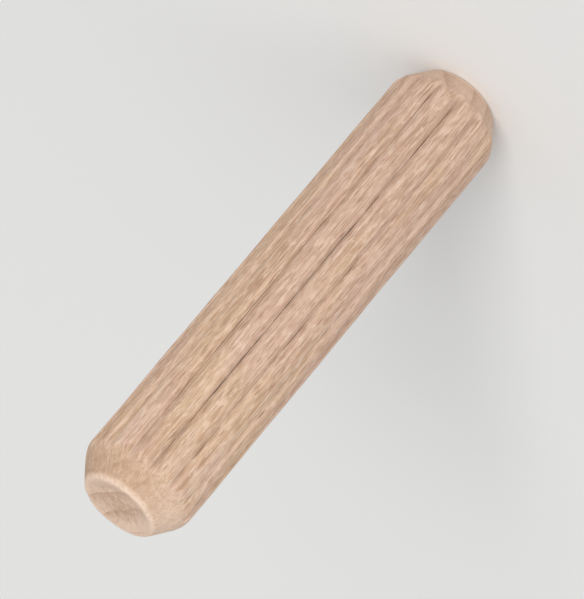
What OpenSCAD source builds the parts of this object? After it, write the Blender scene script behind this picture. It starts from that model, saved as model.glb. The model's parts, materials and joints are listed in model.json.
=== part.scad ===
// Fluted dowel pin, quarter inch by 1-3/16 inch, standing on its lower end.
// The axis is Z and the origin is at the centre of the lower end face.
// Straight pressed flutes run the whole length and die out on the tapered ends.

/* [Pin] */
// Diameter across the lands between the flutes
pin_d = 6.35; // [5:0.05:12]
// Length from one end face to the other
pin_length = 30.2; // [15:0.1:80]

/* [Flutes] */
// Number of flutes around the pin, one of them facing -Y
flute_count = 14; // [6:1:20]
// Width of a flute across its mouth
flute_width = 0.6; // [0.45:0.05:0.9]
// Depth of a flute below the lands
flute_depth = 0.22; // [0.1:0.02:0.4]

/* [Ends] */
// Length of each tapered end, measured along the axis to its sharp corner
taper_length = 1.6; // [0.8:0.1:4]
// Diameter of the flat face left at each end
face_d = 4.2; // [2:0.1:6]
// Radius that rounds the corner between the taper and the lands
shoulder_r = 1.2; // [0.2:0.1:1.5]

/* [Hidden] */
$fn = 96;
pin_r = pin_d / 2;
face_r = face_d / 2;

// A flute is a round cutter through both edges of the mouth and the bottom
mouth_radius = sqrt(pow(pin_r, 2) - pow(flute_width / 2, 2));
mouth_depth = mouth_radius - (pin_r - flute_depth);
flute_r = (pow(flute_width / 2, 2) + pow(mouth_depth, 2)) / (2 * mouth_depth);
flute_pitch = 360 / flute_count;
front_angle = -90;
cutter_run_out = 1;

// The shoulder arc leaves the taper and the lands at the same distance from their corner.
// It is a hair larger than a touching arc, so that it crosses both lines and ends cleanly.
taper_angle = atan((pin_r - face_r) / taper_length);
corner_to_arc = shoulder_r * tan(taper_angle / 2);
arc_centre_z = taper_length + corner_to_arc;
arc_crossing = 0.01;

// The tip of the corner between the lower taper and the lands, outside the shoulder arc
module shoulder_tip() {
    difference() {
        translate([pin_r, taper_length])
            square(2 * corner_to_arc, center = true);
        translate([pin_r - shoulder_r, arc_centre_z])
            circle(r = shoulder_r + arc_crossing);
    }
}

// Lengthwise section from the axis out to the lands, with both tapered ends
module pin_section() {
    difference() {
        polygon([
            [0, 0],
            [face_r, 0],
            [pin_r, taper_length],
            [pin_r, pin_length - taper_length],
            [face_r, pin_length],
            [0, pin_length]
        ]);
        shoulder_tip();
        translate([0, pin_length])
            mirror([0, 1])
                shoulder_tip();
    }
}

// Round cutters for the flutes, spaced evenly around the pin and running out past both ends
module flute_cutters() {
    translate([0, 0, -cutter_run_out])
        linear_extrude(height = pin_length + 2 * cutter_run_out)
            for (i = [0 : flute_count - 1])
                rotate(front_angle + i * flute_pitch)
                    translate([pin_r - flute_depth + flute_r, 0])
                        circle(r = flute_r);
}

module dowel_pin() {
    color("burlywood")
        difference() {
            rotate_extrude()
                pin_section();
            flute_cutters();
        }
}

dowel_pin();
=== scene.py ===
"""A fluted hardwood dowel pin, a quarter inch across, standing on its lower end."""

import json
import math

import bmesh
import bpy
from bpy.props import FloatProperty, FloatVectorProperty, IntProperty, PointerProperty
from bpy.types import Operator, Panel, PropertyGroup
from mathutils import Matrix, Vector, noise


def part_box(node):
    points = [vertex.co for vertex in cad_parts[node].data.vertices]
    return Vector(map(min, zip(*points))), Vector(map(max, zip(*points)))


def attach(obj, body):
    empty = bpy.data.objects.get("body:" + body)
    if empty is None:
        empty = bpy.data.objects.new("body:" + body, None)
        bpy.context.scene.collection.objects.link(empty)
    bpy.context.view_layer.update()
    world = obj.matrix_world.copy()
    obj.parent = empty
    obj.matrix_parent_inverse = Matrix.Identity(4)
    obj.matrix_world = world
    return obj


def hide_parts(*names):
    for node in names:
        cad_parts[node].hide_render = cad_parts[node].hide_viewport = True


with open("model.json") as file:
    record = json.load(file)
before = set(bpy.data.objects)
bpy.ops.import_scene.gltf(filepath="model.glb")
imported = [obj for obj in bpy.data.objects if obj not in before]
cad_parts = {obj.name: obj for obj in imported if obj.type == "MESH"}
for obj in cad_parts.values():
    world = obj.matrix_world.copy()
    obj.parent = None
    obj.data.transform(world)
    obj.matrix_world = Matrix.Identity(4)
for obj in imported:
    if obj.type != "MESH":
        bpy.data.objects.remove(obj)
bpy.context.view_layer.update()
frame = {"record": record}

bl_info = {
    "name": "Fluted Dowel Pin",
    "version": (1, 0, 0),
    "blender": (4, 5, 0),
    "location": "View3D > Sidebar > Dowel Pin",
    "description": "Makes a fluted hardwood dowel pin and the stage it stands on",
    "category": "Object",
}

MM = 0.001
NODE = "dowel_pin"
BODY = "root"
PIN = "fluted_pin"

low_corner, high_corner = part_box(NODE)
shank = next(m for m in frame["record"]["mounts"] if m["name"] == "shank")
SHANK_R = shank["dims"]["r_mm"] * MM
PIN_LENGTH = high_corner.z - low_corner.z
MIDDLE = (low_corner + high_corner) / 2


# ---------------------------------------------------------------- settings

class DowelPinSizes(PropertyGroup):
    """Sizes of the pin"""
    shank_r: FloatProperty(
        name="Shank radius", description="Radius across the lands",
        default=SHANK_R, unit="LENGTH", precision=5)
    length: FloatProperty(
        name="Length", description="From one end face to the other",
        default=PIN_LENGTH, unit="LENGTH", precision=5)
    flute_count: IntProperty(
        name="Flutes", description="Number of pressed flutes, one of them facing the front",
        default=14, min=6, max=20)
    flute_width: FloatProperty(
        name="Flute width", description="Width of a flute across its mouth",
        default=0.6 * MM, unit="LENGTH", precision=5)
    flute_depth: FloatProperty(
        name="Flute depth", description="Depth of a flute below the lands",
        default=0.22 * MM, unit="LENGTH", precision=5)
    lip: FloatProperty(
        name="Lip", description="How far the edges of a flute are worn down",
        default=0.03 * MM, unit="LENGTH", precision=5)
    face_r: FloatProperty(
        name="Face radius", description="Radius of the flat face at each end",
        default=2.1 * MM, unit="LENGTH", precision=5)
    taper_length: FloatProperty(
        name="Taper length", description="Length of each tapered end along the axis",
        default=1.6 * MM, unit="LENGTH", precision=5)
    shoulder_r: FloatProperty(
        name="Shoulder radius", description="Rounding between the taper and the lands",
        default=1.2 * MM, unit="LENGTH", precision=5)
    rim_r: FloatProperty(
        name="Rim radius", description="Rounding of the edge of the end face",
        default=0.15 * MM, unit="LENGTH", precision=5)
    hollow: FloatProperty(
        name="Hollow", description="How far the middle of each end face is sunk",
        default=0.12 * MM, unit="LENGTH", precision=5)
    crack_depth: FloatProperty(
        name="Crack depth", description="Depth of a drying crack below the flute",
        default=0.2 * MM, unit="LENGTH", precision=5)


class DowelPinWood(PropertyGroup):
    """Colours of the wood"""
    pale: FloatVectorProperty(
        name="Pale wood", description="Lightest fibres",
        default=(0.79, 0.59, 0.455), subtype="COLOR", min=0, max=1)
    body: FloatVectorProperty(
        name="Wood", description="Main colour of the wood",
        default=(0.675, 0.457, 0.355), subtype="COLOR", min=0, max=1)
    honey: FloatVectorProperty(
        name="Yellower wood", description="Broad patches of a yellower tone",
        default=(0.675, 0.467, 0.31), subtype="COLOR", min=0, max=1)
    streak: FloatVectorProperty(
        name="Streaks", description="Darker fibres and growth lines",
        default=(0.48, 0.295, 0.19), subtype="COLOR", min=0, max=1)
    fleck: FloatVectorProperty(
        name="Flecks", description="Short brown flecks and pores",
        default=(0.36, 0.20, 0.12), subtype="COLOR", min=0, max=1)
    # On the taper at the foot this colour is painted light, lifting the shade there.
    end: FloatVectorProperty(
        name="End grain", description="The two cut faces, and the taper at the foot",
        default=(0.80, 0.60, 0.465), subtype="COLOR", min=0, max=1)
    taper: FloatVectorProperty(
        name="Taper", description="The turned taper at the top",
        default=(0.54, 0.352, 0.225), subtype="COLOR", min=0, max=1)
    # Worn corners, and painted light: this colour also makes the -X side of the top end paler.
    worn: FloatVectorProperty(
        name="Worn corners", description="Cut fibres rubbed pale by other pins",
        default=(0.88, 0.67, 0.53), subtype="COLOR", min=0, max=1)
    # Pressed wood and painted shade: this colour darkens the bottoms of the flutes, and the pin toward
    # the foot.
    flute: FloatVectorProperty(
        name="Flute bottoms", description="Pressed wood in the flutes, and the shade at the foot",
        default=(0.35, 0.24, 0.178), subtype="COLOR", min=0, max=1)
    # Painted shade: the cracks and the torn pits of the end faces are coloured this dark.
    crack: FloatVectorProperty(
        name="Crack", description="Inside of the drying cracks",
        default=(0.115, 0.088, 0.072), subtype="COLOR", min=0, max=1)


class DowelPinStage(PropertyGroup):
    """Camera, floor and light"""
    elevation: FloatProperty(
        name="Camera height", description="Angle of the camera above the floor",
        default=math.radians(26), subtype="ANGLE")
    roll: FloatProperty(
        name="Camera roll", description="How far the view turns clockwise",
        default=math.radians(219.9), subtype="ANGLE")
    lens: FloatProperty(
        name="Lens", description="Focal length in millimetres",
        default=400, min=50, max=1000)
    fill: FloatProperty(
        name="Filled share", description="Share of the view's height that the pin fills",
        default=0.86, min=0.1, max=1)
    floor_colour: FloatVectorProperty(
        name="Floor", description="Colour of the floor",
        default=(0.86, 0.86, 0.85), subtype="COLOR", min=0, max=1)
    backdrop_colour: FloatVectorProperty(
        name="Backdrop", description="Colour beyond the floor, the same as the lit floor",
        default=(0.765, 0.765, 0.75), subtype="COLOR", min=0, max=1)
    ambient: FloatProperty(
        name="Ambient light", description="Strength of the even studio light",
        default=0.55, min=0, max=2)


# ---------------------------------------------------------------- modelling tools

def object_mode():
    """Leaves edit mode and deselects everything."""
    if bpy.context.mode != "OBJECT":
        bpy.ops.object.mode_set(mode="OBJECT")
    bpy.ops.object.select_all(action="DESELECT")


def pick(test):
    """Selects the vertices of the mesh being edited that pass the test."""
    bpy.ops.mesh.select_all(action="DESELECT")
    mesh = bpy.context.object.data
    shape = bmesh.from_edit_mesh(mesh)
    for vert in shape.verts:
        if test(vert.co):
            vert.select = True
    shape.select_flush_mode()
    bmesh.update_edit_mesh(mesh)


def pick_long_edges(length):
    """Selects the edges that rise by more than the length."""
    bpy.ops.mesh.select_mode(type="EDGE")
    bpy.ops.mesh.select_all(action="DESELECT")
    mesh = bpy.context.object.data
    shape = bmesh.from_edit_mesh(mesh)
    for edge in shape.edges:
        if abs(edge.verts[0].co.z - edge.verts[1].co.z) > length:
            edge.select = True
    shape.select_flush_mode()
    bmesh.update_edit_mesh(mesh)


def apply_all(piece):
    """Applies the piece's modifiers in their order."""
    object_mode()
    bpy.context.view_layer.objects.active = piece
    piece.select_set(True)
    for modifier in list(piece.modifiers):
        bpy.ops.object.modifier_apply(modifier=modifier.name)


def smooth_step(low, high, value):
    """0 up to low, 1 from high on, and an even slope between them."""
    t = min(1.0, max(0.0, (value - low) / (high - low)))
    return t * t * (3 - 2 * t)


# ---------------------------------------------------------------- the pin

# Distances of the columns from the middle of their flute, closest at its bottom and its two lips.
# The last column, on the middle of the land, isn't listed.
COLUMN_STEPS = [
    step * MM for step in (0.0, 0.032, 0.09, 0.15, 0.21, 0.265, 0.30, 0.335, 0.42, 0.55)
]
LAND = len(COLUMN_STEPS)
COLUMNS_PER_FLUTE = 2 * LAND
TAPER_ROWS = 20
SHANK_ROW = 0.15 * MM
SMOOTH_ANGLE = math.radians(50)
# Two heights no further apart than this are the same height.
NEAR = 1e-7

# Drying cracks in each flute, counted from the front towards +X: where a crack starts and ends
# along the pin in millimetres, and how far it opens, 1 being the widest.
CRACKS = {
    0: [
        (1.5, 28.2, 0.12), (2.2, 4.0, 0.25), (3.9, 7.2, 0.42), (6.8, 8.6, 0.50),
        (8.2, 10.6, 0.62), (10.0, 12.4, 0.56), (12.2, 14.4, 0.35), (14.2, 16.2, 0.42),
        (16.0, 18.6, 0.38), (18.6, 20.2, 0.42), (20.2, 22.0, 0.35), (22.0, 23.8, 0.45),
        (24.6, 25.6, 0.30), (26.4, 27.4, 0.29),
    ],
    1: [
        (2.0, 28.2, 0.10), (2.1, 3.4, 0.3), (10.8, 13.6, 0.3), (14.6, 18.2, 0.46),
        (17.8, 21.2, 0.46), (23.2, 24.6, 0.3), (26.8, 28.0, 0.25),
    ],
    3: [(22.0, 26.0, 0.35)],
    4: [(2.2, 8.4, 0.5)],
    5: [(18.0, 23.4, 0.45)],
    7: [(6.6, 17.2, 0.7), (16.4, 20.0, 0.5)],
    -5: [(19.4, 27.8, 0.55)],
    -4: [(3.4, 7.2, 0.4)],
    -3: [(11.0, 15.0, 0.35)],
    -1: [(12.0, 14.2, 0.35), (16.8, 19.0, 0.4), (24.6, 26.8, 0.4)],
}
# No crack opens further than this.
CRACK_LIMIT = 0.72
# A crack's width wavers by this share of itself, so many times in a millimetre.
RAGGED = 0.5
RAGGED_PITCH = 1.7

# The way the saw crossed the end faces, how many streaks of torn fibres lie in a metre along and
# across it, and their share of a crack's depth.
SAW_X, SAW_Y = 0.56, 0.83
TEARS_ALONG, TEARS_ACROSS = 1300, 7000
TEAR_DEPTH = 0.25

# How much of its full depth each flute has, counted from the front towards +X.
PRESSED = [0.95, 0.84, 0.62, 0.9, 1.0, 0.85, 0.7, 0.95, 1.0, 0.8, 0.9, 1.0, 0.5, 0.87]


def flute_and_offset(co, sizes):
    """The nearest flute, counted from the front, and the distance round the pin to its middle."""
    pitch = math.tau / sizes.flute_count
    around = math.atan2(co.x, -co.y)
    flute = round(around / pitch)
    offset = (around - flute * pitch) * sizes.shank_r
    return flute % sizes.flute_count, offset


def band_of(co, sizes):
    """How many columns a vertex lies from the middle of its flute."""
    offset = abs(flute_and_offset(co, sizes)[1])
    if offset > (COLUMN_STEPS[-1] + math.pi * sizes.shank_r / sizes.flute_count) / 2:
        return LAND
    return min(range(LAND), key=lambda band: abs(COLUMN_STEPS[band] - offset))


def fluted_radius(band, sizes):
    """Radius of the shank at one band, from the bottom of the flute to the land."""
    if band == LAND:
        return sizes.shank_r
    across = COLUMN_STEPS[band]
    mouth = sizes.flute_width / 2
    worn = sizes.lip * max(0.0, 1 - abs(across - mouth) / (4 * sizes.lip)) ** 2
    if across >= mouth:
        return sizes.shank_r - worn
    cutter = (mouth ** 2 + sizes.flute_depth ** 2) / (2 * sizes.flute_depth)
    return sizes.shank_r - worn + cutter - sizes.flute_depth - math.sqrt(cutter ** 2 - across ** 2)


def taper_arc(sizes):
    """Where the shoulder arc starts and ends, as heights above the nearer end face."""
    angle = math.atan2(sizes.shank_r - sizes.face_r, sizes.taper_length)
    end = sizes.taper_length + sizes.shoulder_r * math.tan(angle / 2)
    return end - sizes.shoulder_r * math.sin(angle), end


def turned_radius(height, sizes):
    """Radius of the blank before fluting, at a height above the nearer end face."""
    arc_start, arc_end = taper_arc(sizes)
    if height >= arc_end:
        return sizes.shank_r
    if height > arc_start:
        drop = arc_end - height
        return sizes.shank_r - sizes.shoulder_r + math.sqrt(sizes.shoulder_r ** 2 - drop ** 2)
    taper = sizes.face_r + height * (sizes.shank_r - sizes.face_r) / sizes.taper_length
    rim = max(0.0, 1 - height / sizes.rim_r)
    return taper - sizes.rim_r * 0.5 * rim ** 2


def row_heights(sizes):
    """Heights of the rows of one end, from the face to just past the shoulder."""
    end = taper_arc(sizes)[1]
    heights = [0.0, 0.25 * sizes.rim_r, 0.6 * sizes.rim_r, sizes.rim_r]
    step = (end - sizes.rim_r) / TAPER_ROWS
    return heights + [sizes.rim_r + step * i for i in range(1, TAPER_ROWS + 2)]


def start_circle(sizes):
    """The edge of the lower face, with its vertices drawn together towards the flutes."""
    columns = sizes.flute_count * COLUMNS_PER_FLUTE
    bpy.ops.mesh.primitive_circle_add(
        vertices=columns, radius=turned_radius(0, sizes), fill_type="NOTHING", location=(0, 0, 0))
    piece = bpy.context.object
    piece.name = piece.data.name = PIN
    bpy.ops.object.mode_set(mode="EDIT")
    bpy.ops.mesh.select_mode(type="VERT")
    even = math.tau * sizes.shank_r / columns
    for band in range(1, LAND):
        closer = (band * even - COLUMN_STEPS[band]) / sizes.shank_r
        for side in (1, -1):
            pick(lambda co: abs(flute_and_offset(co, sizes)[1] - side * band * even) < even / 4)
            bpy.ops.transform.rotate(value=closer * side, orient_axis="Z", center_override=(0, 0, 0))
    return piece


def raise_rows(sizes, rows):
    """Extrudes the circle up row by row and brings each row to the outline of the fluted pin."""
    now = {band: turned_radius(0, sizes) for band in range(LAND + 1)}
    pick(lambda co: True)
    for before, height in zip(rows, rows[1:]):
        bpy.ops.mesh.extrude_edges_move(TRANSFORM_OT_translate={"value": (0, 0, height - before)})
        blank = turned_radius(min(height, sizes.length - height), sizes)
        for band in now:
            size = min(blank, fluted_radius(band, sizes)) / now[band]
            now[band] *= size
            if abs(size - 1) > NEAR:
                pick(lambda co: abs(co.z - height) < NEAR and band_of(co, sizes) == band)
                bpy.ops.transform.resize(value=(size, size, 1), center_override=(0, 0, height))
        pick(lambda co: abs(co.z - height) < NEAR)


def turn_and_flute(sizes):
    """The fluted pin, closed at both ends and divided finely along its shank."""
    lower = row_heights(sizes)
    object_mode()
    piece = start_circle(sizes)
    raise_rows(sizes, lower + [sizes.length - h for h in reversed(lower)])
    for level in (0.0, sizes.length):
        pick(lambda co: abs(co.z - level) < NEAR)
        bpy.ops.mesh.fill_grid(span=sizes.flute_count * COLUMNS_PER_FLUTE // 4, use_interp_simple=True)
    pick_long_edges(sizes.length / 2)
    bpy.ops.mesh.subdivide(number_cuts=round((sizes.length - 2 * lower[-1]) / SHANK_ROW) - 1)
    bpy.ops.mesh.select_mode(type="VERT")
    bpy.ops.mesh.select_all(action="SELECT")
    bpy.ops.mesh.normals_make_consistent(inside=False)
    object_mode()
    return piece


def crack_opening(flute, height, sizes):
    """How far a crack is open at a height on one flute, from 0 to 1."""
    widest = 0.0
    for place, cracks in CRACKS.items():
        if place % sizes.flute_count != flute:
            continue
        ragged = 0.95 + RAGGED * noise.noise(Vector((0, place * 7.3, height / MM * RAGGED_PITCH)))
        for start, end, opening in cracks:
            if start * MM < height < end * MM:
                t = (height / MM - start) / (end - start)
                widest = max(widest, opening * math.sin(math.pi * t) ** 0.5 * ragged)
    return min(CRACK_LIMIT, widest)


def face_tear(co, sizes):
    """Short fibres torn out near the middle of an end face by the saw, from 0 to TEAR_DEPTH."""
    middle = 1 - smooth_step(0.4, 0.95, math.hypot(co.x, co.y) / sizes.face_r)
    along = co.x * SAW_X - co.y * SAW_Y
    across = co.x * SAW_Y + co.y * SAW_X
    layer = 5.3 if co.z > sizes.length / 2 else 9.1
    torn = noise.noise(Vector((along * TEARS_ALONG, across * TEARS_ACROSS, layer)))
    return TEAR_DEPTH * middle * smooth_step(0.25, 0.6, torn)


def marks_of(co, sizes):
    """What one vertex of the even pin belongs to, each from 0 to 1."""
    flute, offset = flute_and_offset(co, sizes)
    height = max(0.0, min(co.z, sizes.length - co.z))
    radius = math.hypot(co.x, co.y)
    on_face = height < NEAR
    depth = turned_radius(height, sizes) - radius
    sunk = smooth_step(0, sizes.flute_depth, depth) if height > sizes.rim_r else 0.0
    bottom = sunk if abs(offset) < COLUMN_STEPS[1] / 2 else 0.0
    near_bottom = sunk > 0.2 and abs(offset) < COLUMN_STEPS[1] * 1.5
    crack = crack_opening(flute, co.z, sizes) if near_bottom else 0.0
    if not bottom:
        crack = 0.4 * smooth_step(0.35, 1.0, crack)
    arc_start, arc_end = taper_arc(sizes)
    return {
        "flutes": sunk,
        # The crack mark also colours the torn pits of the faces with painted shade.
        "cracks": face_tear(co, sizes) if on_face else crack,
        "cuts": 1 - smooth_step(0.6 * arc_start, arc_end, height),
        "bottoms": bottom,
        "shallow": sunk * (1 - PRESSED[flute % len(PRESSED)]),
        "hollows": 1 - smooth_step(0.55, 0.93, radius / sizes.face_r) if on_face else 0.0,
    }


def add_groups(piece, sizes):
    """Vertex groups for shaping, and one colour attribute that the wood's colours read."""
    marks = [marks_of(vert.co.copy(), sizes) for vert in piece.data.vertices]
    for name in marks[0]:
        group = piece.vertex_groups.new(name=name)
        for index, mark in enumerate(marks):
            if mark[name] > 0:
                group.add([index], mark[name], "REPLACE")
    bpy.context.view_layer.objects.active = piece
    bpy.ops.geometry.color_attribute_add(
        name="marks", domain="POINT", data_type="FLOAT_COLOR", color=(0, 0, 0, 1))
    colours = []
    for mark in marks:
        colours += [mark["flutes"] - mark["shallow"], mark["cracks"], mark["cuts"], 1]
    piece.data.color_attributes["marks"].data.foreach_set("color", colours)


def grain_axes(name, size, lean=(0, 0, 0), shift=(0, 0, 0)):
    """An empty whose size, in millimetres, and lean stretch a texture along the fibres."""
    object_mode()
    bpy.ops.object.empty_add(type="PLAIN_AXES", location=shift, rotation=lean)
    axes = bpy.context.object
    axes.name = name
    axes.scale = [s * MM for s in size]
    return axes


def push(piece, name, amount, group="", axes=None, kind="CLOUDS", depth=1, direction="NORMAL"):
    """A displace modifier; without axes it moves the whole group evenly."""
    modifier = piece.modifiers.new(name, "DISPLACE")
    modifier.strength = amount
    modifier.vertex_group = group
    modifier.direction = direction
    modifier.mid_level = 0
    if axes:
        pattern = bpy.data.textures.new(name, kind)
        pattern.noise_scale = 1
        if kind == "CLOUDS":
            pattern.noise_depth = depth
        modifier.texture = pattern
        modifier.texture_coords = "OBJECT"
        modifier.texture_coords_object = axes
        modifier.mid_level = 0.5


def weather(piece, sizes):
    """Opens the cracks and makes the even pin as uneven as pressed and tumbled wood."""
    broad = grain_axes("broad", (2.2, 2.2, 7), shift=(0.01, 0, 0))
    fibres = grain_axes("fibres", (0.16, 0.16, 2.4), lean=(0.01, -0.008, 0.3))
    along = grain_axes("along", (1.1, 1.1, 2.6), shift=(0, 0.02, 0))
    wander = grain_axes("wander", (40, 40, 1.6), shift=(0, 0, 0.05))
    rough = grain_axes("rough", (0.26, 0.26, 0.5), shift=(0.03, 0, 0))
    torn = grain_axes("torn", (1.3, 0.34, 0.6), lean=(0, 0, -0.98), shift=(0, 0.04, 0))
    saw = grain_axes("saw", (0.44, 60, 60), lean=(0, 0, 0.6))
    push(piece, "shallow flutes", sizes.flute_depth, "shallow")
    push(piece, "crease", -0.03 * MM, "bottoms")
    push(piece, "split", -sizes.crack_depth, "cracks")
    push(piece, "hollow", -sizes.hollow, "hollows")
    push(piece, "wander", 0.05 * MM, "flutes", wander, direction="X")
    push(piece, "flute depth", 0.08 * MM, "flutes", along, depth=2)
    push(piece, "out of true", 0.07 * MM, axes=broad)
    push(piece, "fibre ridges", 0.022 * MM, axes=fibres, depth=2)
    push(piece, "cut roughness", 0.03 * MM, "cuts", rough, depth=2)
    push(piece, "torn fibres", 0.09 * MM, "hollows", torn, depth=2)
    push(piece, "saw marks", 0.024 * MM, "hollows", saw, kind="WOOD")
    apply_all(piece)
    for axes in (broad, fibres, along, wander, rough, torn, saw):
        bpy.data.objects.remove(axes)


def make_pin(sizes, wood):
    """Turns, flutes and weathers the pin, and gives it its wood."""
    piece = turn_and_flute(sizes)
    add_groups(piece, sizes)
    weather(piece, sizes)
    bpy.ops.object.shade_smooth_by_angle(angle=SMOOTH_ANGLE)
    piece.data.materials.clear()
    piece.data.materials.append(hardwood(wood, sizes))
    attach(piece, BODY)
    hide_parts(NODE)


# ---------------------------------------------------------------- the wood

# How often each pattern repeats in a millimetre: out from the tree's heart, round it, and along
# the fibres.
COARSE_FIBRES = (3.4, 3.4, 0.10)
FINE_FIBRES = (10, 10, 0.40)
LONG_STREAKS = (5.0, 5.0, 0.04)
YELLOW_PATCHES = (0.5, 0.5, 0.16)
FLUTE_DASHES = (0.9, 0.9, 0.5)
BLOTCHES = (2.8, 2.8, 1.6)
MOTTLE = (4.8, 4.8, 1.5)
NAP = (8, 8, 4)
RAY_FLECKS = (4.0, 6.5, 0.85)
RAY_LINES = (0.22, 7.5, 0.25)
LONG_PORES = (14, 14, 0.80)
CUT_PORES = (26, 26, 9)
GRAIN_BENDS = (0.22, 0.22, 0.07)
RING_WAVES = (0.9, 0.25, 0.05)

# How the fibres lean and turn in the pin.
GRAIN_TURN = tuple(math.radians(angle) for angle in (0.9, -0.7, 28))
# In millimetres: how far the fibres bend aside, where the pin lay from the tree's heart, and how
# wide the growth rings are and how far they waver.
BEND = (0.45, 0.45, 0)
FROM_HEART = (31, 4, 0)
RING_WIDTH = 1.3
RING_WAVE = 0.8
# The share of the coarse fibres against the fine ones, and how much of an even colour the cut
# ends have.
COARSE_SHARE = 0.52
END_EVENNESS = 0.72
BUMP_HEIGHT = 0.018 * MM
LEVEL = (1, 1, 0)


def add(tree, kind, inputs=None, **options):
    """Adds a node, sets its options, and joins or sets its inputs."""
    made = tree.nodes.new(kind)
    for name, value in options.items():
        setattr(made, name, value)
    for name, value in (inputs or {}).items():
        if isinstance(value, bpy.types.NodeSocket):
            tree.links.new(value, made.inputs[name])
        else:
            made.inputs[name].default_value = value
    return made


def sums(tree, operation, first, second=0.0):
    """One step of arithmetic on two values."""
    return add(tree, "ShaderNodeMath", {0: first, 1: second}, operation=operation).outputs[0]


def spread(tree, value, low, high, start=0.0, end=1.0):
    """Takes low to high of a value to start to end, evenly eased at both ends."""
    sockets = {"Value": value, "From Min": low, "From Max": high, "To Min": start, "To Max": end}
    return add(tree, "ShaderNodeMapRange", sockets, interpolation_type="SMOOTHSTEP").outputs[0]


def blend(tree, amount, first, second):
    """Goes from the first colour to the second as the amount goes from 0 to 1."""
    mix = add(tree, "ShaderNodeMix", {0: amount, 6: first, 7: second}, data_type="RGBA")
    return mix.outputs[2]


def tint(tree, tone, colour, mask, share):
    """Lays a colour over the tone where the mask is, at most by the share."""
    return blend(tree, sums(tree, "MULTIPLY", mask, share), tone, colour)


def stretched(tree, grain, scale, shift=(0, 0, 0)):
    """The grain's place, scaled for one pattern and moved so that no two patterns meet."""
    return add(tree, "ShaderNodeMapping", {"Vector": grain, "Scale": scale, "Location": shift}).outputs[0]


def cloudy(tree, vector, detail=2.0, roughness=0.5):
    """An uneven pattern from 0 to 1."""
    sockets = {"Vector": vector, "Scale": 1.0, "Detail": detail, "Roughness": roughness}
    return add(tree, "ShaderNodeTexNoise", sockets).outputs["Fac"]


def grain_space(tree):
    """Millimetres out from the tree's heart (X), round it (Y) and along the fibres (Z), gently bent."""
    place = add(tree, "ShaderNodeTexCoord").outputs["Object"]
    per_mm = (1 / MM, 1 / MM, 1 / MM)
    turned = add(tree, "ShaderNodeMapping", {"Vector": place, "Rotation": GRAIN_TURN, "Scale": per_mm})
    turned = turned.outputs[0]
    waves = {"Vector": stretched(tree, turned, GRAIN_BENDS), "Scale": 1.0, "Detail": 1.0}
    bend = add(tree, "ShaderNodeTexNoise", waves).outputs["Color"]
    centred = add(tree, "ShaderNodeVectorMath", {0: bend, 1: (0.5, 0.5, 0.5)}, operation="SUBTRACT")
    small = add(tree, "ShaderNodeVectorMath", {0: centred.outputs[0], 1: BEND}, operation="MULTIPLY")
    return add(tree, "ShaderNodeVectorMath", {0: turned, 1: small.outputs[0]}).outputs[0]


def growth_rings(tree, grain):
    """Place within a year's growth, from 0 at its start to 1 at its end."""
    centred = add(tree, "ShaderNodeVectorMath", {0: grain, 1: FROM_HEART})
    flat = add(tree, "ShaderNodeVectorMath", {0: centred.outputs[0], 1: LEVEL}, operation="MULTIPLY")
    out = add(tree, "ShaderNodeVectorMath", {0: flat.outputs[0]}, operation="LENGTH").outputs["Value"]
    uneven = cloudy(tree, stretched(tree, grain, RING_WAVES, (3, 3, 3)), 2.0)
    out = sums(tree, "ADD", out, sums(tree, "MULTIPLY", uneven, RING_WAVE))
    return sums(tree, "FRACT", sums(tree, "DIVIDE", out, RING_WIDTH))


def late_wood(tree, year):
    """Darkens slowly through the year and drops at its end."""
    drop = spread(tree, year, 0.96, 1.0, start=1.0, end=0.0)
    return sums(tree, "MULTIPLY", sums(tree, "POWER", year, 3.0), drop)


def ray_flecks(tree, grain):
    """Short upright dashes where thin rays come out on the sides, brown ones and pale ones."""
    sockets = {"Vector": stretched(tree, grain, RAY_FLECKS), "Scale": 1.0, "Randomness": 1.0}
    cells = add(tree, "ShaderNodeTexVoronoi", sockets)
    near = spread(tree, cells.outputs["Distance"], 0.14, 0.28, start=1.0, end=0.0)
    chosen = add(tree, "ShaderNodeSeparateColor", {"Color": cells.outputs["Color"]}).outputs[0]
    brown = sums(tree, "MULTIPLY", near, spread(tree, chosen, 0.35, 0.9))
    pale = sums(tree, "MULTIPLY", near, spread(tree, chosen, 0.35, 0.1))
    return brown, pale


def ray_lines(tree, grain):
    """Thin pale lines out from the tree's heart, seen on the cut ends."""
    sheets = cloudy(tree, stretched(tree, grain, RAY_LINES, (2, 8, 5)), 1.0, 0.4)
    return spread(tree, sheets, 0.55, 0.68)


def wood_pores(tree, grain):
    """Fine open pores where they are cut lengthwise, as thin scratches."""
    fine = cloudy(tree, stretched(tree, grain, LONG_PORES), 1.0, 0.4)
    return spread(tree, fine, 0.57, 0.70)


def end_pores(tree, grain):
    """The same pores where they are cut across, as dots."""
    fine = cloudy(tree, stretched(tree, grain, CUT_PORES, (4, 2, 9)), 1.0, 0.5)
    return spread(tree, fine, 0.55, 0.68)


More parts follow.
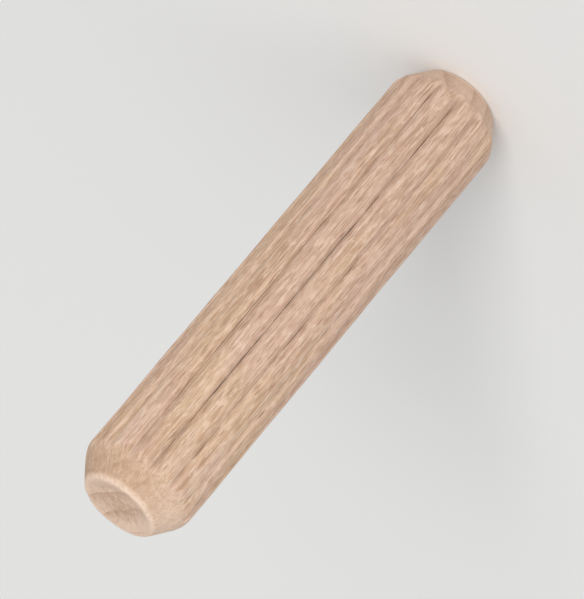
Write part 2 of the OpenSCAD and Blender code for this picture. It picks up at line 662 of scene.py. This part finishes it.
def places_on_pin(tree, sizes):
    """How near the foot, on a face, near its middle or its edge, and on the -X side toward the top, where
    light is painted on.
    """
    place = add(tree, "ShaderNodeTexCoord").outputs["Object"]
    apart = add(tree, "ShaderNodeSeparateXYZ", {0: place})
    rise = apart.outputs[2]
    flat = add(tree, "ShaderNodeVectorMath", {0: place, 1: LEVEL}, operation="MULTIPLY")
    radius = add(tree, "ShaderNodeVectorMath", {0: flat.outputs[0]}, operation="LENGTH").outputs["Value"]
    middle = sums(tree, "ABSOLUTE", sums(tree, "SUBTRACT", rise, sizes.length / 2))
    height = sums(tree, "SUBTRACT", sizes.length / 2, middle)
    away = sums(tree, "SUBTRACT", radius, sizes.face_r)
    both = add(tree, "ShaderNodeCombineXYZ", {0: away, 1: height})
    length = add(tree, "ShaderNodeVectorMath", {0: both.outputs[0]}, operation="LENGTH").outputs["Value"]
    foot = spread(tree, rise, 0.0, sizes.length, start=1.0, end=0.0)
    face = spread(tree, radius, 0.92 * sizes.face_r, 1.06 * sizes.face_r, start=1.0, end=0.0)
    heart = spread(tree, radius, 0.15 * sizes.face_r, 0.8 * sizes.face_r, start=1.0, end=0.0)
    corner = spread(tree, length, 0.05 * MM, 0.42 * MM, start=0.9, end=0.0)
    # Painted light: the -X side of the cut ends is paler, more so toward the top.
    side = spread(tree, apart.outputs[0], -0.9 * sizes.shank_r, 0.0, start=0.7, end=0.0)
    painted_light_side = sums(tree, "MULTIPLY", side, sums(tree, "SUBTRACT", 1.0, foot))
    return {"foot": foot, "face": face, "heart": heart, "corner": corner, "painted_light_side": painted_light_side}


def colour_of_ends(tree, colours, parts):
    """Fibres cut across: less contrast, clearer rings, thin pale rays, a worn pale corner, and painted
    light on the -X side of the top end and on the taper toward the foot.
    """
    tone = blend(tree, spread(tree, parts["fibres"], 0.40, 0.60), colours["streak"], colours["pale"])
    # Painted light: the taper turns to the paler end colour toward the foot, lifting the shade there.
    taper = tint(tree, colours["taper"], colours["end"], parts["foot"], share=0.95)
    tone = blend(tree, END_EVENNESS, tone, blend(tree, parts["face"], taper, colours["end"]))
    tone = tint(tree, tone, colours["streak"], parts["late"], share=0.75)
    light = spread(tree, parts["blotches"], 0.50, 0.72, end=0.35)
    tone = blend(tree, light, tone, colours["pale"])
    dark = spread(tree, parts["blotches"], 0.42, 0.28, end=0.40)
    tone = blend(tree, dark, tone, colours["streak"])
    brown = spread(tree, parts["blotches"], 0.62, 0.42, start=0.1, end=0.6)
    tone = blend(tree, sums(tree, "MULTIPLY", parts["heart"], brown), tone, colours["streak"])
    tone = tint(tree, tone, colours["fleck"], parts["dots"], share=0.30)
    tone = tint(tree, tone, colours["pale"], parts["lines"], share=0.25)
    # Worn pale corners, and painted light on the -X side of the top end.
    worn = sums(tree, "MAXIMUM", parts["corner"], parts["painted_light_side"])
    worn = sums(tree, "MULTIPLY", worn, spread(tree, parts["nap"], 0.35, 0.55, start=0.5))
    return blend(tree, worn, tone, colours["worn"])


def colour_of_fibres(tree, colours, parts):
    """Fibres on the sides: yellower patches, darker and paler fibres, late wood and mottle."""
    yellow = sums(tree, "SUBTRACT", parts["patches"], sums(tree, "MULTIPLY", parts["foot"], 0.15))
    main = blend(tree, spread(tree, yellow, 0.34, 0.54), colours["body"], colours["honey"])
    tone = blend(tree, spread(tree, parts["fibres"], 0.33, 0.52), colours["streak"], main)
    tone = blend(tree, spread(tree, parts["fibres"], 0.50, 0.68), tone, colours["pale"])
    tone = blend(tree, spread(tree, parts["long"], 0.60, 0.72, end=0.35), tone, colours["streak"])
    tone = tint(tree, tone, colours["streak"], parts["late"], share=0.38)
    tone = blend(tree, spread(tree, parts["mottle"], 0.52, 0.68, end=0.50), tone, colours["streak"])
    return blend(tree, spread(tree, parts["mottle"], 0.48, 0.32, end=0.65), tone, colours["pale"])


def colour_of_wood(tree, wood, parts):
    """The sides with their worn lips painted lighter as a highlight, flutes of pressed wood with painted
    shade, flecks and pores, then the cut ends, painted shade toward the foot, and the cracks in painted
    shade.
    """
    colours = {name: (*getattr(wood, name), 1) for name in DowelPinWood.__annotations__}
    tone = colour_of_fibres(tree, colours, parts)
    # Painted highlight: a pale band along the worn lips of the flutes.
    lip = spread(tree, parts["flute"], 0.0, 0.05)
    inside = spread(tree, parts["flute"], 0.15, 0.5, start=0.4, end=0.0)
    tone = blend(tree, sums(tree, "MULTIPLY", lip, inside), tone, colours["pale"])
    # The flute bottoms darken: partly pressed wood, partly painted shade in the grooves.
    pressed_and_painted_shade = sums(tree, "MULTIPLY", sums(tree, "POWER", parts["flute"], 6.0), parts["dashes"])
    tone = blend(tree, pressed_and_painted_shade, tone, colours["flute"])
    tone = tint(tree, tone, colours["pale"], parts["pale flecks"], share=0.5)
    tone = tint(tree, tone, colours["fleck"], parts["flecks"], share=0.62)
    tone = tint(tree, tone, colours["fleck"], parts["pores"], share=0.50)
    tone = blend(tree, parts["cut"], tone, colour_of_ends(tree, colours, parts))
    # Painted shade: the whole pin turns slightly darker toward the foot.
    tone = tint(tree, tone, colours["flute"], parts["foot"], share=0.17)
    # Painted shade inside the cracks and the torn pits.
    return blend(tree, parts["crack"], tone, colours["crack"])


def wood_patterns(tree, sizes):
    """Every pattern and mark that the wood's colour, gloss and grain read."""
    grain = grain_space(tree)
    marks = add(tree, "ShaderNodeAttribute", attribute_name="marks").outputs["Color"]
    marked = add(tree, "ShaderNodeSeparateColor", {"Color": marks})
    coarse = cloudy(tree, stretched(tree, grain, COARSE_FIBRES), 3.0, 0.6)
    fine = cloudy(tree, stretched(tree, grain, FINE_FIBRES, (3, 1, 7)), 2.0, 0.6)
    coarse = sums(tree, "MULTIPLY", coarse, COARSE_SHARE)
    fine = sums(tree, "MULTIPLY", fine, 1 - COARSE_SHARE)
    dashes = cloudy(tree, stretched(tree, grain, FLUTE_DASHES, (6, 4, 9)), 3.0, 0.65)
    brown_flecks, pale_flecks = ray_flecks(tree, grain)
    return {
        "fibres": sums(tree, "ADD", coarse, fine),
        "long": cloudy(tree, stretched(tree, grain, LONG_STREAKS, (8, 2, 1)), 1.0),
        "patches": cloudy(tree, stretched(tree, grain, YELLOW_PATCHES, (5, 9, 2)), 2.0),
        "dashes": spread(tree, dashes, 0.36, 0.60, start=0.4, end=0.9),
        "blotches": cloudy(tree, stretched(tree, grain, BLOTCHES, (1, 6, 4)), 4.0, 0.65),
        "mottle": cloudy(tree, stretched(tree, grain, MOTTLE, (2, 5, 3)), 2.0, 0.55),
        "late": late_wood(tree, growth_rings(tree, grain)),
        "flecks": brown_flecks,
        "pale flecks": pale_flecks,
        "lines": ray_lines(tree, grain),
        "pores": wood_pores(tree, grain),
        "dots": end_pores(tree, grain),
        "nap": cloudy(tree, stretched(tree, grain, NAP, (7, 3, 1)), 3.0, 0.65),
        **places_on_pin(tree, sizes),
        "flute": marked.outputs[0],
        # Where the cracks and torn pits get their painted shade.
        "crack": spread(tree, marked.outputs[1], 0.05, 0.80, end=0.90),
        "cut": marked.outputs[2],
    }


def roughness_of_wood(tree, parts):
    """Matt, a little smoother on pale fibres and where the flutes were pressed."""
    gloss = sums(tree, "MULTIPLY", parts["flute"], 0.12)
    return sums(tree, "SUBTRACT", spread(tree, parts["fibres"], 0.3, 0.7, start=0.72, end=0.60), gloss)


def grain_bump(tree, parts):
    """Fine relief: fibres, pores and flecks on the sides, nap and dots on the cut ends."""
    height = sums(tree, "SUBTRACT", parts["fibres"], sums(tree, "MULTIPLY", parts["pores"], 0.6))
    height = sums(tree, "SUBTRACT", height, sums(tree, "MULTIPLY", parts["flecks"], 0.35))
    rough = sums(tree, "SUBTRACT", parts["nap"], sums(tree, "MULTIPLY", parts["dots"], 0.4))
    height = add(tree, "ShaderNodeMix", {0: parts["cut"], 2: height, 3: rough}).outputs[0]
    sockets = {"Height": height, "Strength": 1.0, "Distance": BUMP_HEIGHT}
    return add(tree, "ShaderNodeBump", sockets).outputs[0]


def hardwood(wood, sizes):
    """Bare pale hardwood, made from the place on the pin and from its marks."""
    material = bpy.data.materials.new("bare hardwood")
    material.use_nodes = True
    tree = material.node_tree
    shader = tree.nodes["Principled BSDF"]
    parts = wood_patterns(tree, sizes)
    tree.links.new(colour_of_wood(tree, wood, parts), shader.inputs["Base Color"])
    tree.links.new(roughness_of_wood(tree, parts), shader.inputs["Roughness"])
    tree.links.new(grain_bump(tree, parts), shader.inputs["Normal"])
    shader.inputs["Specular IOR Level"].default_value = 0.35
    return material


# ---------------------------------------------------------------- the stage

# The camera's sensor in millimetres, and the floor and where it fades out, in metres.
SENSOR = 36
FLOOR_SIZE = 16
FADE_START, FADE_END = 0.06, 0.5


def add_sun(name, azimuth, height, strength, softness):
    """A soft lamp; its azimuth is counted from the front towards +X."""
    object_mode()
    around = math.radians(azimuth)
    up = math.radians(height)
    level = math.cos(up)
    towards = Vector((math.sin(around) * level, -math.cos(around) * level, math.sin(up)))
    bpy.ops.object.light_add(type="SUN", location=MIDDLE + towards)
    lamp = bpy.context.object
    lamp.name = name
    lamp.rotation_euler = towards.to_track_quat("Z", "Y").to_euler()
    lamp.data.energy = strength
    lamp.data.angle = math.radians(softness)


def add_camera(stage, sizes):
    """Aims a rolled camera at the pin's middle, from as far off as the pin's share of the view asks."""
    up = stage.elevation
    back = Vector((0, -math.cos(up), math.sin(up)))
    half_view = math.atan(SENSOR / 2 / stage.lens)
    tall = abs(math.cos(stage.roll)) * (sizes.length * math.cos(up) + 2 * sizes.face_r * math.sin(up))
    tall += abs(math.sin(stage.roll)) * 2 * sizes.shank_r
    distance = tall / stage.fill / 2 / math.tan(half_view)
    object_mode()
    bpy.ops.object.camera_add(location=MIDDLE + back * distance)
    camera = bpy.context.object
    camera.name = "camera"
    camera.data.lens = stage.lens
    camera.data.sensor_width = SENSOR
    camera.data.clip_start = 0.01
    camera.data.clip_end = 20
    aim = (-back).to_track_quat("-Z", "Y").to_matrix().to_4x4()
    camera.rotation_euler = (aim @ Matrix.Rotation(stage.roll, 4, "Z")).to_euler()
    bpy.context.scene.camera = camera


def backdrop_world(colour, strength):
    """Even studio light; the camera sees the floor's own colour beyond the floor."""
    world = bpy.data.worlds.new("studio")
    bpy.context.scene.world = world
    world.use_nodes = True
    tree = world.node_tree
    light = tree.nodes["Background"]
    light.inputs["Color"].default_value = (1, 1, 1, 1)
    light.inputs["Strength"].default_value = strength
    seen = add(tree, "ShaderNodeBackground", {"Color": (*colour, 1), "Strength": 1.0})
    path = add(tree, "ShaderNodeLightPath")
    look = sums(tree, "MAXIMUM", path.outputs["Is Camera Ray"], path.outputs["Is Glossy Ray"])
    look = sums(tree, "MAXIMUM", look, path.outputs["Is Transmission Ray"])
    mix = add(tree, "ShaderNodeMixShader", {0: look, 1: light.outputs[0], 2: seen.outputs[0]})
    tree.links.new(mix.outputs[0], tree.nodes["World Output"].inputs["Surface"])


def pale_floor(colour, far_colour):
    """Matt near the pin; far away it fades into the backdrop's colour, so no horizon shows."""
    material = bpy.data.materials.new("pale floor")
    material.use_nodes = True
    tree = material.node_tree
    shader = tree.nodes["Principled BSDF"]
    shader.inputs["Base Color"].default_value = (*colour, 1)
    shader.inputs["Roughness"].default_value = 0.9
    shader.inputs["Specular IOR Level"].default_value = 0.1
    place = add(tree, "ShaderNodeTexCoord").outputs["Object"]
    away = add(tree, "ShaderNodeVectorMath", {0: place}, operation="LENGTH").outputs["Value"]
    far = add(tree, "ShaderNodeEmission", {"Color": (*far_colour, 1), "Strength": 1.0})
    fade = spread(tree, away, FADE_START, FADE_END)
    mix = add(tree, "ShaderNodeMixShader", {0: fade, 1: shader.outputs[0], 2: far.outputs[0]})
    tree.links.new(mix.outputs[0], tree.nodes["Material Output"].inputs["Surface"])
    return material


def make_stage(stage, sizes):
    """Floor, even light, two soft lamps and the camera."""
    object_mode()
    bpy.ops.mesh.primitive_plane_add(size=FLOOR_SIZE, location=(0, 0, 0))
    floor = bpy.context.object
    floor.name = "floor"
    floor.data.materials.append(pale_floor(stage.floor_colour, stage.backdrop_colour))
    backdrop_world(stage.backdrop_colour, stage.ambient)
    add_sun("key light", azimuth=16, height=34, strength=1.25, softness=25)
    add_sun("fill light", azimuth=-28, height=30, strength=0.67, softness=50)
    add_camera(stage, sizes)
    bpy.context.scene.view_settings.view_transform = "Standard"


class OBJECT_OT_make_dowel_pin(Operator):
    """Makes the fluted hardwood pin in place of its plain solid"""
    bl_idname = "object.make_dowel_pin"
    bl_label = "Make Dowel Pin"

    def execute(self, context):
        make_pin(context.scene.dowel_pin_sizes, context.scene.dowel_pin_wood)
        return {"FINISHED"}


class SCENE_OT_make_dowel_stage(Operator):
    """Adds the floor, the lamps, the world light and the camera"""
    bl_idname = "scene.make_dowel_stage"
    bl_label = "Make Stage"

    def execute(self, context):
        make_stage(context.scene.dowel_pin_stage, context.scene.dowel_pin_sizes)
        return {"FINISHED"}


class VIEW3D_PT_dowel_pin(Panel):
    """Lists the pin's settings and its two steps"""
    bl_idname = "VIEW3D_PT_dowel_pin"
    bl_label = "Dowel Pin"
    bl_space_type = "VIEW_3D"
    bl_region_type = "UI"
    bl_category = "Dowel Pin"

    def draw(self, context):
        scene = context.scene
        for group in (scene.dowel_pin_sizes, scene.dowel_pin_wood, scene.dowel_pin_stage):
            box = self.layout.box()
            for name in group.__annotations__:
                box.prop(group, name)
        self.layout.operator("object.make_dowel_pin")
        self.layout.operator("scene.make_dowel_stage")


CLASSES = (
    DowelPinSizes,
    DowelPinWood,
    DowelPinStage,
    OBJECT_OT_make_dowel_pin,
    SCENE_OT_make_dowel_stage,
    VIEW3D_PT_dowel_pin,
)


def register():
    for cls in CLASSES:
        bpy.utils.register_class(cls)
    bpy.types.Scene.dowel_pin_sizes = PointerProperty(type=DowelPinSizes)
    bpy.types.Scene.dowel_pin_wood = PointerProperty(type=DowelPinWood)
    bpy.types.Scene.dowel_pin_stage = PointerProperty(type=DowelPinStage)


def unregister():
    del bpy.types.Scene.dowel_pin_stage
    del bpy.types.Scene.dowel_pin_wood
    del bpy.types.Scene.dowel_pin_sizes
    for cls in reversed(CLASSES):
        bpy.utils.unregister_class(cls)


def main():
    register()
    bpy.ops.object.make_dowel_pin()
    bpy.ops.scene.make_dowel_stage()
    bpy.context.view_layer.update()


if __name__ == "__main__":
    main()
